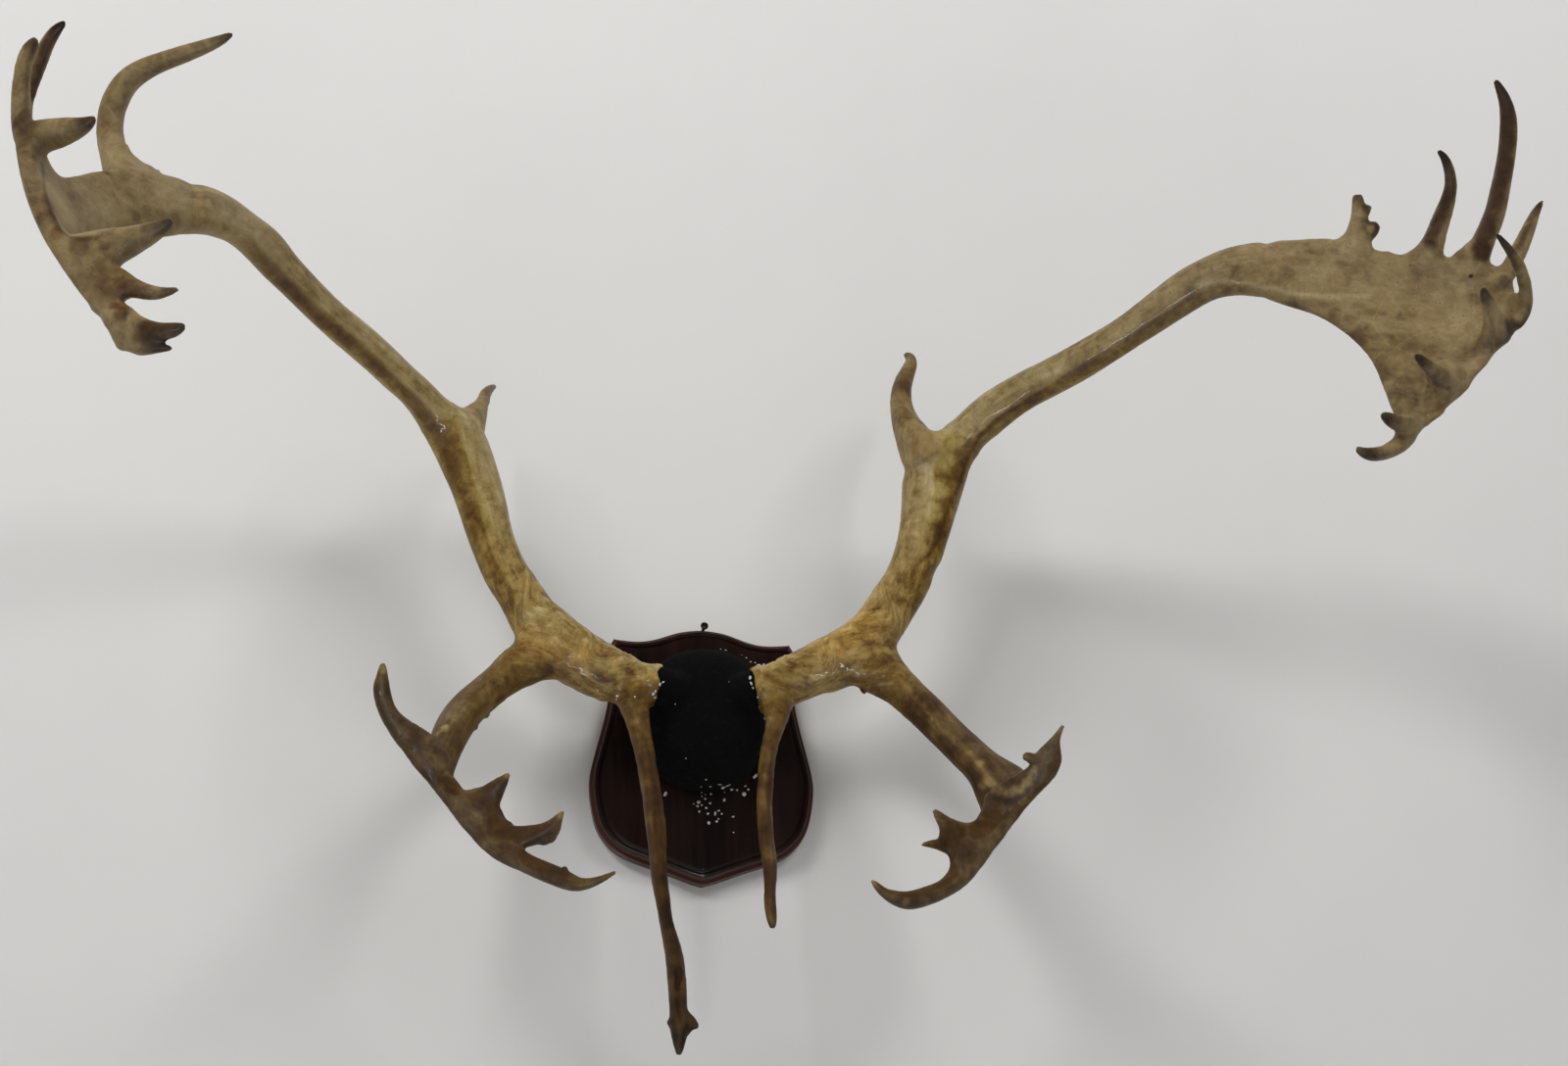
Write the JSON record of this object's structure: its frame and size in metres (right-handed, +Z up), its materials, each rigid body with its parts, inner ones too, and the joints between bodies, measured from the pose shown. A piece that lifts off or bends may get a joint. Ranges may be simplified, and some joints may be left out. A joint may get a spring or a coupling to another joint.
{
  "type": "antler wall mount",
  "caption": "Caribou antlers mounted on a shield-shaped dark wood plaque, with a black felt cover over the skull cap, for hanging on a wall.",
  "frame": {"origin": "centre of the plaque's flat back face, where the plaque lies against the wall", "axes": "+Z up, +Y from the front of the plaque into the wall, +X to the right of someone facing the mount, along its widest spread"},
  "size_m": [1.4076, 0.5374, 0.8825],
  "materials": {
    "mahogany": "near-black red-brown stain under a glossy varnish",
    "black_felt": "matte, slightly dusty pile",
    "antler": "satin weathered antler, tan to olive with brown streaks",
    "dark_antler": "satin weathered antler, dark grey-brown",
    "dark_steel": "dark oxidised steel"
  },
  "bodies": {
    "root": {"plaque": "mahogany", "hanging_screw": "dark_steel", "skull_cap_cover": "black_felt", "left_beam": "antler", "left_brow_tine": "dark_antler", "left_bez_tine": "dark_antler", "left_rear_tine": "antler", "left_crown_palm": "antler", "right_beam": "antler", "right_brow_tine": "dark_antler", "right_bez_tine": "dark_antler", "right_rear_tine": "antler", "right_crown_palm": "antler"}
  },
  "joints": []
}
